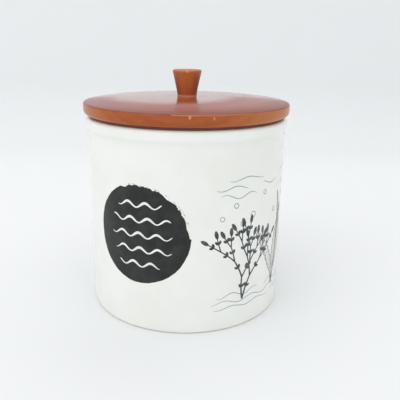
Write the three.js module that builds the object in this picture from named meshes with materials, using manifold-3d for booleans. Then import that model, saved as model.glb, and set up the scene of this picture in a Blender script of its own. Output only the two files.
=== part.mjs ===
// A lidded crock for pickled herring. The glazed earthenware jar is a straight cylinder with a low
// rolled band round its mouth. The turned teak lid is a crowned disc, a plug that drops into the
// mouth, and a flared knob, all held together by one wood screw from below. A soft ring sits on the
// plug's neck and seals the mouth, and its flange keeps the lid off the rim. Lengths are
// millimetres, +Z is up, and the origin is at the centre of the foot, on the surface that the crock
// stands on.
import * as THREE from "three";
import { mergeVertices } from "three/addons/utils/BufferGeometryUtils.js";
import Module from "manifold-3d";

// Crock
const BODY_DIAMETER = 117; // outside of the straight wall
const CROCK_HEIGHT = 113; // from the foot to the rim
const WALL = 4.7; // thickness of the straight wall
const FLOOR = 4.6; // thickness of the floor over the hollow of the foot
const FOOT_HOLLOW = 1.8; // height of the hollow inside the foot ring
const FOOT_WIDTH = 5.5; // breadth of the foot ring
const FOOT_ROUND = 1.4; // rounding of the wall into the foot
const FOOT_INNER_ROUND = 0.7; // rounding of the foot ring's inner edge
const FLOOR_ROUND = 7; // rounding of the wall into the floor, inside
const BAND_HEIGHT = 6.8; // rolled band, from its lower line to the rim
const BAND_PROUD = 0.75; // how far the band stands out from the wall
const BAND_ROLL = 2.3; // height over which the band's lower edge rolls in to the wall
const RIM_ROUND = 2.2; // rounding of the rim's outer edge
const MOUTH_ROUND = 1.3; // rounding of the rim's inner edge

// Lid disc
const LID_OVERHANG = 0.95; // how far the disc reaches past the band
const LID_EDGE = 6.6; // thickness at the edge
const LID_CROWN = 2.7; // rise of the crown above the edge
const CROWN_POWER = 2.8; // the crown is flat round the knob and falls faster the nearer the edge
const LID_TOP_ROUND = 1.3; // rounding of the upper edge
const LID_BOTTOM_ROUND = 2.4; // rounding of the lower edge

// Lid plug and its seal
const PLUG_GAP = 1.6; // gap between the plug's toe and the mouth, all round
const PLUG_TOE = 4; // height of the toe, which keeps the ring on the plug's neck
const PLUG_ROUND = 1.2; // rounding of the toe's lower edge
const SEAL_FLANGE = 1.5; // thickness of the ring's flange, between the lid and the rim
const SEAL_MARGIN = 0.25; // flat part of the rim that the flange leaves free, outside it
const SEAL_SLEEVE = 4.4; // height of the ring's sleeve inside the mouth
const SEAL_WALL = 3.2; // thickness of the sleeve
const SEAL_GAP = 0.3; // gap between the sleeve and the wall of the mouth
const SEAL_ROUND = 1.3; // rounding of the sleeve's lower edge
const FLANGE_ROUND = 0.25; // rounding of the flange's outer edges

// Knob
const KNOB_BASE_DIAMETER = 11.4;
const KNOB_TOP_DIAMETER = 17.4; // before its edge is rounded
const KNOB_STEM = 0.6; // straight length above the base
const KNOB_FLARE = 14.6; // length of the flared part
const KNOB_BEND = 0.15; // share of the flare where its sides bend outwards
const KNOB_TOP_ROUND = 0.9; // rounding of the top edge
const KNOB_BASE_ROUND = 0.4; // rounding of the base edge
const KNOB_SEAT_MARGIN = 0.5; // flat seat on the lid's crown, past the knob's base

// Screw
const SCREW_DIAMETER = 4;
const SCREW_HEAD_DIAMETER = 7.6;
const SCREW_HEAD_LAND = 0.4; // straight edge of the countersunk head
const SCREW_HEAD_SINK = 0.5; // how far the head lies below the plug's face
const SCREW_POINT = 3; // length of the pointed end
const SCREW_COVER = 5; // wood left between the screw's hole and the knob's top
const SLOT_WIDTH = 1;
const SLOT_DEPTH = 1.2;

// Clearance between pieces that sit inside one another
const FIT = 0.3;

// Facets
const LARGE_SIDES = 72; // round the crock, the lid and the seal
const SMALL_SIDES = 36; // round the knob and the screw
const ROUND_STEPS = 3; // chords in each rounding
const ROLL_STEPS = 3; // chords in the band's rolled edge
const CROWN_STEPS = 9; // chords across the lid's crown
const FLARE_STEPS = 6; // chords along the knob's flare

// Sizes that follow from those above
const bodyRadius = BODY_DIAMETER / 2;
const bandRadius = bodyRadius + BAND_PROUD;
const mouthRadius = bodyRadius - WALL;
const lidRadius = bandRadius + LID_OVERHANG;
const lidTop = LID_EDGE + LID_CROWN;
const plugRadius = mouthRadius - PLUG_GAP;
const sleeveRadius = mouthRadius - SEAL_GAP;
const sealBore = sleeveRadius - SEAL_WALL;
const sealHeight = SEAL_FLANGE + SEAL_SLEEVE;
const plugDepth = sealHeight + FIT + PLUG_TOE;
const knobBaseRadius = KNOB_BASE_DIAMETER / 2;
const knobTopRadius = KNOB_TOP_DIAMETER / 2;
const knobHeight = KNOB_STEM + KNOB_FLARE;
const seatRadius = knobBaseRadius + KNOB_SEAT_MARGIN;
const shankRadius = SCREW_DIAMETER / 2;
const headRadius = SCREW_HEAD_DIAMETER / 2;
const headCone = headRadius - shankRadius; // a 90 degree countersink is as deep as it is wide
const boreRadius = shankRadius + FIT;
const headFace = SCREW_HEAD_SINK - plugDepth; // heights of the screw, from the lid's underside
const headShoulder = headFace + SCREW_HEAD_LAND;
const screwEnd = lidTop + knobHeight - SCREW_COVER - FIT;

const glaze = new THREE.MeshStandardMaterial({ color: 0xeef0ee, roughness: 0.15, metalness: 0 });
const teak = new THREE.MeshStandardMaterial({ color: 0xa05632, roughness: 0.35, metalness: 0 });
const plugTeak = new THREE.MeshStandardMaterial({ color: 0x96603c, roughness: 0.55, metalness: 0 });
const softRing = new THREE.MeshStandardMaterial({ color: 0x6e3a2c, roughness: 0.6, metalness: 0 });
const brass = new THREE.MeshStandardMaterial({ color: 0xb08d4f, roughness: 0.35, metalness: 1 });

const wasm = await Module();
wasm.setup();

// The outline of a turned piece. Each corner is [radius, height, rounding], in an order that keeps
// the material on the left. A rounding is held to half of the shorter side beside its corner.
function outline(corners, closed) {
  const count = corners.length;
  const points = [];
  corners.forEach(([radius, height, rounding], i) => {
    const corner = new THREE.Vector2(radius, height);
    if (!rounding) {
      points.push(corner);
      return;
    }
    const back = new THREE.Vector2(...corners[(i + count - 1) % count]).sub(corner);
    const ahead = new THREE.Vector2(...corners[(i + 1) % count]).sub(corner);
    const room = Math.min(back.length(), ahead.length()) / 2;
    back.normalize();
    ahead.normalize();
    const half = Math.acos(back.dot(ahead)) / 2;
    const round = Math.min(rounding, room * Math.tan(half));
    const reach = round / Math.tan(half);
    const toCentre = back.clone().add(ahead).setLength(round / Math.sin(half));
    const centre = corner.clone().add(toCentre);
    const start = back.clone().multiplyScalar(reach).sub(toCentre);
    const end = ahead.clone().multiplyScalar(reach).sub(toCentre);
    const turn = Math.atan2(start.cross(end), start.dot(end));
    for (let step = 0; step <= ROUND_STEPS; step++) {
      const spoke = start.clone().rotateAround(new THREE.Vector2(), (turn * step) / ROUND_STEPS);
      points.push(centre.clone().add(spoke));
    }
  });
  if (closed) points.push(points[0].clone());
  return points;
}

// The band's lower edge: an arc that leaves the wall at a clear line and turns upright into the band.
function rollCorners(lineHeight) {
  const arcRadius = (BAND_ROLL ** 2 + BAND_PROUD ** 2) / (2 * BAND_PROUD);
  const startAngle = Math.asin(BAND_ROLL / arcRadius);
  const corners = [];
  for (let step = 0; step <= ROLL_STEPS; step++) {
    const angle = startAngle * (step / ROLL_STEPS - 1);
    const radius = bandRadius - arcRadius + arcRadius * Math.cos(angle);
    corners.push([radius, lineHeight + BAND_ROLL + arcRadius * Math.sin(angle)]);
  }
  return corners;
}

// The lid's crown, as corners from its edge in to the flat seat of the knob at its top.
function crownCorners(edgeRadius, edgeHeight, topRadius, topHeight, edgeRound) {
  const corners = [];
  for (let step = 0; step <= CROWN_STEPS; step++) {
    const outwards = 1 - step / CROWN_STEPS;
    const radius = THREE.MathUtils.lerp(topRadius, edgeRadius, outwards);
    const height = THREE.MathUtils.lerp(topHeight, edgeHeight, outwards ** CROWN_POWER);
    corners.push([radius, height, step === 0 ? edgeRound : 0]);
  }
  return corners;
}

// A solid of revolution about Z.
function turned(points, sides) {
  return new THREE.LatheGeometry(points, sides).rotateX(Math.PI / 2);
}

function solidOf(geometry) {
  const bare = geometry.clone().deleteAttribute("normal").deleteAttribute("uv");
  const merged = mergeVertices(bare);
  return new wasm.Manifold(
    new wasm.Mesh({
      numProp: 3,
      vertProperties: merged.attributes.position.array,
      triVerts: new Uint32Array(merged.index.array),
    }),
  );
}

function geometryOf(solid) {
  const mesh = solid.getMesh();
  const geometry = new THREE.BufferGeometry();
  geometry.setAttribute("position", new THREE.BufferAttribute(mesh.vertProperties, 3));
  geometry.setIndex(new THREE.BufferAttribute(mesh.triVerts, 1));
  geometry.computeVertexNormals();
  return geometry;
}

function piece(name, geometry, material) {
  const mesh = new THREE.Mesh(geometry, material);
  mesh.name = name;
  return mesh;
}

function makeCrock() {
  const footInner = bodyRadius - FOOT_ROUND - FOOT_WIDTH;
  const bandLine = CROCK_HEIGHT - BAND_HEIGHT;
  const floorTop = FOOT_HOLLOW + FLOOR;
  const corners = [
    [0, FOOT_HOLLOW],
    [footInner, FOOT_HOLLOW, FOOT_INNER_ROUND],
    [footInner, 0, FOOT_INNER_ROUND],
    [bodyRadius, 0, FOOT_ROUND],
    ...rollCorners(bandLine),
    [bandRadius, CROCK_HEIGHT, RIM_ROUND],
    [mouthRadius, CROCK_HEIGHT, MOUTH_ROUND],
    [mouthRadius, floorTop, FLOOR_ROUND],
    [0, floorTop],
  ];
  return piece("crock", turned(outline(corners, false), LARGE_SIDES), glaze);
}

// The pieces of the lid are measured from its underside.
function makeLidDisc() {
  const corners = [
    [boreRadius, 0],
    [lidRadius, 0, LID_BOTTOM_ROUND],
    ...crownCorners(lidRadius, LID_EDGE, seatRadius, lidTop, LID_TOP_ROUND),
    [boreRadius, lidTop],
  ];
  return piece("lid_disc", turned(outline(corners, true), LARGE_SIDES), teak);
}

function makeLidPlug() {
  const face = -plugDepth;
  const toeTop = face + PLUG_TOE;
  const neckRadius = sealBore - FIT;
  const countersinkRadius = headRadius + FIT;
  const corners = [
    [countersinkRadius, face],
    [plugRadius, face, PLUG_ROUND],
    [plugRadius, toeTop],
    [neckRadius, toeTop],
    [neckRadius, 0],
    [boreRadius, 0],
    [boreRadius, headShoulder + headCone],
    [countersinkRadius, headShoulder],
  ];
  return piece("lid_plug", turned(outline(corners, true), LARGE_SIDES), plugTeak);
}

function makeSealRing() {
  const flangeRadius = bandRadius - RIM_ROUND - SEAL_MARGIN;
  const corners = [
    [sealBore, -sealHeight],
    [sleeveRadius, -sealHeight, SEAL_ROUND],
    [sleeveRadius, -SEAL_FLANGE],
    [flangeRadius, -SEAL_FLANGE, FLANGE_ROUND],
    [flangeRadius, 0, FLANGE_ROUND],
    [sealBore, 0],
  ];
  return piece("seal_ring", turned(outline(corners, true), LARGE_SIDES), softRing);
}

function makeKnob() {
  const top = lidTop + knobHeight;
  const flareStart = new THREE.Vector2(knobBaseRadius, lidTop + KNOB_STEM);
  const flareBend = new THREE.Vector2(knobBaseRadius, flareStart.y + KNOB_BEND * KNOB_FLARE);
  const flareEnd = new THREE.Vector2(knobTopRadius, top);
  const flare = new THREE.QuadraticBezierCurve(flareStart, flareBend, flareEnd);
  const sides = flare.getPoints(FLARE_STEPS).map(({ x, y }) => [x, y]);
  sides.at(-1).push(KNOB_TOP_ROUND);
  const corners = [
    [0, top - SCREW_COVER],
    [boreRadius, top - SCREW_COVER],
    [boreRadius, lidTop],
    [knobBaseRadius, lidTop, KNOB_BASE_ROUND],
    ...sides,
    [0, top],
  ];
  return piece("knob", turned(outline(corners, false), SMALL_SIDES), teak);
}

function makeKnobScrew() {
  const corners = [
    [0, headFace],
    [headRadius, headFace],
    [headRadius, headShoulder],
    [shankRadius, headShoulder + headCone],
    [shankRadius, screwEnd - SCREW_POINT],
    [0, screwEnd],
  ];
  const blank = solidOf(turned(outline(corners, false), SMALL_SIDES));
  const cutter = new THREE.BoxGeometry(2 * SCREW_HEAD_DIAMETER, SLOT_WIDTH, 2 * SLOT_DEPTH);
  cutter.translate(0, 0, headFace);
  return piece("knob_screw", geometryOf(blank.subtract(solidOf(cutter))), brass);
}

const lid = new THREE.Group();
lid.position.z = CROCK_HEIGHT + SEAL_FLANGE;
lid.add(makeLidDisc(), makeLidPlug(), makeSealRing(), makeKnob(), makeKnobScrew());

const jar = new THREE.Group();
jar.add(makeCrock(), lid);

export default jar;
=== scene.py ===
# %% [markdown]
# # A lidded jar for pickled herring
# The jar is a white glazed crock with a turned teak lid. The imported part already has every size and
# every moving body, so this lesson dresses it: fine turned meshes, finishes made of shader nodes,
# a fired decoration on the wall, and a bright table to stand on.

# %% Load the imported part
import math
import random

import bmesh
import bpy
from mathutils import Matrix, Vector


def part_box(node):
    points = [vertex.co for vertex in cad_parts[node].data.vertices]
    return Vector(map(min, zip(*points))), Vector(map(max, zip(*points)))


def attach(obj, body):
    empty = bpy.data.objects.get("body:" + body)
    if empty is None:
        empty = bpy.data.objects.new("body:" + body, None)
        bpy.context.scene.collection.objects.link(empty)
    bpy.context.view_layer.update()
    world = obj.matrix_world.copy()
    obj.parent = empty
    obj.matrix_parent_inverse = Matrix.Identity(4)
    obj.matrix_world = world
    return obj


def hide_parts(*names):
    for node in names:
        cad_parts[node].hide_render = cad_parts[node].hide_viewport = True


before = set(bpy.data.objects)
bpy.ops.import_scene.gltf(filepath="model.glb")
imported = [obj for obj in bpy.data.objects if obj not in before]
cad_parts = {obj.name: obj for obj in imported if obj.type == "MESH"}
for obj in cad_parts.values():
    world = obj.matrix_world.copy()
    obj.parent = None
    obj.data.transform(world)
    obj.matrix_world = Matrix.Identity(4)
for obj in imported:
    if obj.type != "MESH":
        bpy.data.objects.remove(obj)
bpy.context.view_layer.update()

# %% [markdown]
# ## Sizes
# A turned piece needs only a few radii and heights. They could be typed in again, but then the
# dressed jar could drift away from the solids, so whatever a node's box can tell is read from it,
# and only what lies inside a box is typed. Profiles are easier to read in millimetres, and are
# scaled to metres when a mesh is made.

# %% Read the sizes of the solids
MM = 0.001


def span(node):
    """Outer radius, lowest and highest height of a turned node, in millimetres."""
    low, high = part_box(node)
    return high.x / MM, low.z / MM, high.z / MM


BAND_RADIUS, FOOT_LEVEL, RIM_LEVEL = span("crock")
LID_RADIUS, LID_UNDERSIDE, LID_TOP = span("lid_disc")
PLUG_RADIUS, PLUG_FACE, PLUG_TOP = span("lid_plug")
FLANGE_RADIUS, SEAL_BOTTOM, SEAL_TOP = span("seal_ring")
KNOB_RADIUS, KNOB_BASE, KNOB_TOP = span("knob")
_, SCREW_FACE, SCREW_END = span("knob_screw")
BODY_RADIUS = 58.5
MOUTH_RADIUS = 53.8
BORE_RADIUS = 2.3
print(f"crock {2 * BAND_RADIUS:.1f} wide, lid {2 * LID_RADIUS:.1f}, height {KNOB_TOP:.1f} mm")

# %% [markdown]
# ## Turning
# Everything here was thrown, cast or turned, so one profile swept about the upright axis makes each
# piece. A Screw modifier could do the sweep. Plain mesh code is chosen because it gives closed
# shapes, and spokes that can crowd together where a nick needs them. Corners are rounded first.

# %% Round the corners of a profile
ROUND_STEPS = 6


def rounded(corners, closed=False):
    """Points of a profile whose corners are (radius, height) or (radius, height, rounding)."""
    points = []
    count = len(corners)
    for i, (radius, height, *rounding) in enumerate(corners):
        corner = Vector((radius, height))
        if not rounding:
            points.append(corner)
            continue
        back = (Vector(corners[i - 1][:2]) - corner).normalized()
        ahead = (Vector(corners[(i + 1) % count][:2]) - corner).normalized()
        half = back.angle(ahead) / 2
        reach = rounding[0] / math.tan(half)
        to_centre = (back + ahead).normalized() * (rounding[0] / math.sin(half))
        start = back * reach - to_centre
        end = ahead * reach - to_centre
        turn = math.atan2(start.cross(end), start.dot(end))
        for step in range(ROUND_STEPS + 1):
            spoke = Matrix.Rotation(turn * step / ROUND_STEPS, 2) @ start
            points.append(corner + to_centre + spoke)
    if closed:
        points.append(points[0].copy())
    return points


def finely(points, longest):
    """The same profile with every straight run cut into lengths no longer than that."""
    fine = [points[0]]
    for start, end in zip(points, points[1:]):
        parts = max(1, math.ceil((end - start).length / longest))
        fine.extend(start.lerp(end, part / parts) for part in range(1, parts + 1))
    return fine


print("a rounded corner has", ROUND_STEPS + 1, "points")

# %% Sweep a profile about the upright axis
ON_AXIS = 1e-6


def even_spokes(count):
    """Angles at equal steps round a circle."""
    return [math.tau * i / count for i in range(count)]


def around(radius, angle, height):
    """A point in metres. Angle 0 is the front of the jar and positive angles go to its right."""
    return Vector((radius * math.sin(angle), -radius * math.cos(angle), height)) * MM


def turned(profile, spokes):
    """A closed mesh swept from a profile that starts and ends on the axis, or closes on itself."""
    shape = bmesh.new()
    loops = profile[0] == profile[-1]
    rings = []
    for radius, height in profile[:-1] if loops else profile:
        angles = spokes if radius > ON_AXIS else spokes[:1]
        rings.append([shape.verts.new(around(radius, angle, height)) for angle in angles])
    if loops:
        rings.append(rings[0])
    for low, high in zip(rings, rings[1:]):
        for i in range(len(spokes)):
            here, there = i, (i + 1) % len(spokes)
            quad = [low[here % len(low)], low[there % len(low)]]
            quad += [high[there % len(high)], high[here % len(high)]]
            shape.faces.new(dict.fromkeys(quad))
    return shape


print("front of the rim, in metres:", tuple(around(BAND_RADIUS, 0.0, RIM_LEVEL)))

# %% Turn a mesh into a piece that rides on the frame
SHARP_ANGLE = math.radians(38)


def in_scene(name, data):
    """A new object in the scene, of a mesh, a lamp or a camera."""
    made = bpy.data.objects.new(name, data)
    bpy.context.scene.collection.objects.link(made)
    return made


def mesh_object(name, shape, finishes=()):
    """A new object in the scene, of a shape and its finishes."""
    mesh = bpy.data.meshes.new(name)
    shape.to_mesh(mesh)
    shape.free()
    for finish in finishes:
        mesh.materials.append(finish)
    return in_scene(name, mesh)


def add_piece(name, shape, body, finishes):
    """A named piece, with its finishes, that rides on a body of the frame."""
    bmesh.ops.recalc_face_normals(shape, faces=shape.faces)
    for face in shape.faces:
        face.smooth = True
    piece = mesh_object(name, shape, finishes)
    piece.data.set_sharp_from_angle(angle=SHARP_ANGLE)
    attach(piece, body)
    print(f"{name}: {len(piece.data.polygons)} faces, rides on {body}")
    return piece


print(f"edges over {math.degrees(SHARP_ANGLE):.0f} degrees stay sharp")

# %% [markdown]
# ## Shader maths
# A finish is a small program of nodes. Wiring them one by one hides what they mean, so a number that
# varies over a surface is wrapped in a class that understands plus, minus, times and divided by.
# All other nodes come from one method, which takes the settings first and then the sockets.

# %% A number that varies over a surface
def both_ways(operation):
    """Two methods for an operator: the usual one, and its reflected form."""
    def usual(self, other):
        return self.maths(operation, self, other)

    def reflected(self, other):
        return self.maths(operation, other, self)

    return usual, reflected


class Varying:
    """A shader socket that can be used in a Python expression."""

    def __init__(self, finish, socket):
        self.finish = finish
        self.socket = socket

    def maths(self, operation, *terms):
        settings = {"operation": operation}
        return self.finish.node("ShaderNodeMath", settings, dict(enumerate(terms)))

    __add__, __radd__ = both_ways("ADD")
    __sub__, __rsub__ = both_ways("SUBTRACT")
    __mul__, __rmul__ = both_ways("MULTIPLY")
    __truediv__, __rtruediv__ = both_ways("DIVIDE")
    __pow__, __rpow__ = both_ways("POWER")

    def __neg__(self):
        return -1 * self

    def sine(self):
        return self.maths("SINE", self)

    def larger(self, other):
        return self.maths("MAXIMUM", self, other)


def hypotenuse(first, second):
    """How long the slanting side over two varying lengths is."""
    return (first * first + second * second) ** 0.5


# %% A tree of nodes
class Nodes:
    """A node tree under construction."""

    def __init__(self, tree):
        self.tree = tree
        self.tree.nodes.clear()

    def node(self, kind, settings=None, inputs=None, output=0):
        """Adds a node. Settings go in first, then the values or links of its sockets."""
        made = self.tree.nodes.new(kind)
        for name, value in (settings or {}).items():
            if name == "stops":
                self.set_stops(made.color_ramp, value)
            else:
                setattr(made, name, value)
        for key, value in (inputs or {}).items():
            if isinstance(value, Varying):
                self.tree.links.new(value.socket, made.inputs[key])
            else:
                made.inputs[key].default_value = value
        return Varying(self, made.outputs[output]) if made.outputs else None

    @staticmethod
    def set_stops(ramp, stops):
        while len(ramp.elements) < len(stops):
            ramp.elements.new(1.0)
        for element, (position, colour) in zip(ramp.elements, stops):
            element.position = position
            element.color = colour

    def parts(self, vector):
        """The three numbers in a vector."""
        return [self.node("ShaderNodeSeparateXYZ", {}, {0: vector}, axis) for axis in "XYZ"]

    def stretched(self, vector, scale):
        """A vector multiplied by a scale of its own along each axis."""
        return self.node("ShaderNodeVectorMath", {"operation": "MULTIPLY"}, {0: vector, 1: scale})

    def distance(self, vector, middle):
        """How far a point is from another, in metres."""
        sockets = {0: vector, 1: middle}
        return self.node("ShaderNodeVectorMath", {"operation": "DISTANCE"}, sockets, "Value")

    def noise(self, vector, scale=1.0, detail=3.0, roughness=0.55):
        sockets = {"Vector": vector, "Scale": scale, "Detail": detail, "Roughness": roughness}
        return self.node("ShaderNodeTexNoise", {}, sockets)

    def fade(self, value, start, end):
        """0 up to start, 1 from end on, and a smooth rise between them."""
        sockets = {"Value": value, "From Min": start, "From Max": end}
        return self.node("ShaderNodeMapRange", {"interpolation_type": "SMOOTHSTEP"}, sockets)

    def blend(self, factor, first, second):
        """One colour turning into another."""
        sockets = {0: factor, 6: first, 7: second}
        return self.node("ShaderNodeMix", {"data_type": "RGBA"}, sockets, output=2)

    def ramp(self, value, stops):
        return self.node("ShaderNodeValToRGB", {"stops": stops}, {"Fac": value})

    def relief(self, height, strength, depth):
        """A Bump node. Depth is in metres."""
        sockets = {"Height": height, "Strength": strength, "Distance": depth}
        return self.node("ShaderNodeBump", {}, sockets)


# %% A finish
class Finish(Nodes):
    """The nodes of a material, from where a point is to a Principled shader."""

    def __init__(self, name):
        self.material = bpy.data.materials.new(name)
        self.material.use_nodes = True
        super().__init__(self.material.node_tree)

    def place(self):
        """Where a point of the surface is, in metres, in the jar's own frame."""
        return self.node("ShaderNodeTexCoord", output="Object")

    def surface(self, inputs, share=0.0, other=None):
        """Ends the finish with a Principled shader, or with a mix of two by a share."""
        shader = self.node("ShaderNodeBsdfPrincipled", {}, inputs)
        if other:
            second = self.node("ShaderNodeBsdfPrincipled", {}, other)
            shader = self.node("ShaderNodeMixShader", {}, {0: share, 1: shader, 2: second})
        self.node("ShaderNodeOutputMaterial", {}, {"Surface": shader})
        print("finish:", self.material.name, "with", len(self.tree.nodes), "nodes")
        return self.material


def paint(red, green, blue):
    """A colour socket's four numbers, from a display colour of 0 to 255."""
    def linear(part):
        part /= 255
        return part / 12.92 if part <= 0.04045 else ((part + 0.055) / 1.055) ** 2.4

    return linear(red), linear(green), linear(blue), 1.0


print(f"a display grey of 128 is {paint(128, 128, 128)[0]:.3f} in linear light")

# %% [markdown]
# ## Glaze and bare clay
# The crock is dipped in a white glaze that pools and thins very slightly, so its white is never
# quite even and its gloss has a faint swell. An even white would do from afar. Here two soft noises
# shift the tint and the relief, and the foot is wiped bare, so it has a second, dry finish.

# %% White glaze
GLAZE_THIN = paint(238, 239, 232)
GLAZE_POOLED = paint(242, 243, 238)
IRON_SPECK = paint(214, 208, 196)


def make_glaze():
    glaze = Finish("white_glaze")
    place = glaze.place()
    pooling = glaze.noise(place, scale=38.0, detail=2.0)
    specks = glaze.noise(place, scale=900.0, detail=1.0)
    swell = glaze.noise(place, scale=110.0, detail=1.5)
    white = glaze.blend(glaze.fade(pooling, 0.3, 0.7), GLAZE_THIN, GLAZE_POOLED)
    return glaze.surface({
        "Base Color": glaze.blend(0.35 * glaze.fade(specks, 0.74, 0.80), white, IRON_SPECK),
        "Roughness": 0.10 + 0.08 * pooling,
        "IOR": 1.5,
        "Normal": glaze.relief(swell, strength=0.12, depth=0.0006),
    })


white_glaze = make_glaze()

# %% Bare clay of the foot
CLAY_STAINED = paint(206, 192, 172)
CLAY_CLEAN = paint(226, 217, 202)


def make_dry(name, colours, patches, grain, roughness, strength, depth):
    """A dry finish with patches of two colours and a fine grain, each given by its scale."""
    dry = Finish(name)
    place = dry.place()
    stain = dry.noise(place, scale=patches, detail=3.0)
    grit = dry.noise(place, scale=grain, detail=2.0)
    return dry.surface({
        "Base Color": dry.blend(stain, *colours),
        "Roughness": roughness + 0.15 * grit,
        "Normal": dry.relief(grit, strength, depth),
    })


bare_clay = make_dry(
    "bare_clay", (CLAY_STAINED, CLAY_CLEAN),
    patches=160.0, grain=2600.0, roughness=0.78, strength=0.35, depth=0.00015,
)

# %% [markdown]
# ## The crock
# The wall is straight and the mouth has a low band, whose lower edge rolls in to the wall and stops
# at a clear line. The profile goes from the hollow of the foot, up the outside, over the rim and
# down the inside to the floor, so the crock is one closed shell with a real thickness.

# %% Turn the crock
FOOT_HOLLOW = 1.8
FOOT_INNER = 51.6
FOOT_EASE = 0.7
FOOT_ROUND = 1.4
FLOOR_LEVEL = 6.4
FLOOR_ROUND = 7.0
BAND_HEIGHT = 6.8
BAND_LINE = RIM_LEVEL - BAND_HEIGHT
BAND_ROLL = 2.3
BAND_STEPS = 8
RIM_ROUND = 2.2
MOUTH_ROUND = 1.3
CLAY_LEVEL = 0.35
CROCK_GRID = 4.0
CROCK_SPOKES = 240


def band_roll():
    """Points of the arc that leaves the wall at the line and turns upright into the band."""
    proud = BAND_RADIUS - BODY_RADIUS
    arc_radius = (BAND_ROLL**2 + proud**2) / (2 * proud)
    first = math.asin(BAND_ROLL / arc_radius)
    points = []
    for step in range(BAND_STEPS + 1):
        angle = first * (step / BAND_STEPS - 1)
        radius = BAND_RADIUS - arc_radius + arc_radius * math.cos(angle)
        points.append((radius, BAND_LINE + BAND_ROLL + arc_radius * math.sin(angle)))
    return points


def make_crock():
    profile = rounded([
        (0, FOOT_HOLLOW),
        (FOOT_INNER, FOOT_HOLLOW, FOOT_EASE),
        (FOOT_INNER, FOOT_LEVEL, FOOT_EASE),
        (BODY_RADIUS, FOOT_LEVEL, FOOT_ROUND),
        *band_roll(),
        (BAND_RADIUS, RIM_LEVEL, RIM_ROUND),
        (MOUTH_RADIUS, RIM_LEVEL, MOUTH_ROUND),
        (MOUTH_RADIUS, FLOOR_LEVEL, FLOOR_ROUND),
        (0, FLOOR_LEVEL),
    ])
    shape = turned(finely(profile, CROCK_GRID), even_spokes(CROCK_SPOKES))
    for face in shape.faces:
        face.material_index = int(face.calc_center_median().z < CLAY_LEVEL * MM)
    crock = add_piece("crock_body", shape, "crock", [white_glaze, bare_clay])
    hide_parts("crock")


make_crock()

# %% [markdown]
# ## Inks
# The decoration is fired on, so it is as hard as the glaze, a little less glossy, and it stands up
# by a hair. An image laid on the wall would be the usual way. Here each mark is a thin closed strip
# that hugs the wall, which stays sharp from any distance. The inks vary as a brush or a pen leaves
# them.

# %% Charcoal, drawing, slate and white inks
def make_ink(name, thin, thick, roughness):
    ink = Finish(name)
    place = ink.place()
    cover = ink.noise(place, scale=140.0, detail=4.0, roughness=0.6)
    grain = ink.noise(place, scale=1500.0, detail=2.0)
    density = ink.fade(0.75 * cover + 0.25 * grain, 0.35, 0.62)
    return ink.surface({
        "Base Color": ink.blend(density, thin, thick),
        "Roughness": roughness + 0.10 * grain,
        "IOR": 1.4,
        "Normal": ink.relief(grain, strength=0.10, depth=0.00005),
    })


charcoal_ink = make_ink("charcoal_ink", paint(44, 44, 43), paint(26, 26, 26), 0.30)
drawing_ink = make_ink("drawing_ink", paint(92, 94, 95), paint(54, 56, 58), 0.28)
slate_ink = make_ink("slate_ink", paint(138, 152, 168), paint(98, 114, 134), 0.25)
white_ink = make_ink("white_ink", paint(228, 229, 226), paint(240, 241, 238), 0.18)

# %% [markdown]
# ## Strokes on the wall
# A stroke is a path on the unrolled wall, measured along the arc and up, with a width at each point.
# It could be a curve object with a bevel, but a strip bent point by point follows the cylinder
# exactly. Its lower face lies just under the glaze, so no gap shows from the side.

# %% Lay a stroke on the wall
SINK = -0.02
SLATE_LIFT = 0.03
CHARCOAL_LIFT = 0.045
WHITE_LIFT = 0.075
LEAST_WIDTH = 0.06


def on_wall(spot, lift):
    """A point on the wall. The spot is its arc to the right of the front, and its height."""
    return around(BODY_RADIUS + lift, spot[0] / BODY_RADIUS, spot[1])


def stroke(shape, path, widths, lift, ring=False):
    """Adds a thin closed strip along a path, or one that runs back into itself."""
    last = len(path) - 1
    sections = []
    for i, (spot, width) in enumerate(zip(path, widths)):
        before = path[i - 1] if ring or i else path[0]
        after = path[(i + 1) % len(path)] if ring or i < last else path[last]
        along = (Vector(after) - Vector(before)).normalized()
        side = Vector((-along.y, along.x)) * max(width, LEAST_WIDTH) / 2
        left, right = Vector(spot) + side, Vector(spot) - side
        edges = [(left, SINK), (left, lift), (right, lift), (right, SINK)]
        sections.append([shape.verts.new(on_wall(*edge)) for edge in edges])
    joins = list(zip(sections, sections[1:]))
    if ring:
        joins.append((sections[-1], sections[0]))
    for one, two in joins:
        for corner, following in ((0, 1), (1, 2), (2, 3), (3, 0)):
            shape.faces.new((one[corner], two[corner], two[following], one[following]))
    if not ring:
        shape.faces.new(sections[0])
        shape.faces.new(sections[-1])


def taper(count, widest, peak=0.4, sharpness=1.0):
    """Widths that swell from a point to the widest place and run out to a point again."""
    widths = []
    for i in range(count):
        t = i / (count - 1)
        share = t / peak if t < peak else (1 - t) / (1 - peak)
        widths.append(widest * max(0.0, math.sin(share * math.pi / 2)) ** sharpness)
    return widths


def beyond(middle, reach, angle):
    """A spot on the wall at a reach from another. Angle 0 points right and angles go up from there."""
    return middle[0] + reach * math.cos(angle), middle[1] + reach * math.sin(angle)


def draw_piece(name, ink, draw, seed):
    """A piece of strokes on the crock, drawn by a function that gets seeded random numbers."""
    shape = bmesh.new()
    draw(shape, random.Random(seed))
    add_piece(name, shape, "crock", [ink])


print("widths of a short stroke:", [round(width, 2) for width in taper(5, 1.0)])

# %% [markdown]
# ## The round label spot
# At the front left the crock has a charcoal spot, as if dabbed on with a wide dry brush: round, with
# a clean lower edge and a ragged upper right one. A plain disc would look stuck on. So the outline
# is a circle with a little wander, bitten by several sizes of noise where the brush ran dry.

# %% The spot's edge
SPOT_MIDDLE = (-23.9, 56.5)
SPOT_RADIUS = 28.0
SPOT_SPOKES = 720
DRY_FROM, DRY_TO = math.radians(8), math.radians(108)
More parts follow.
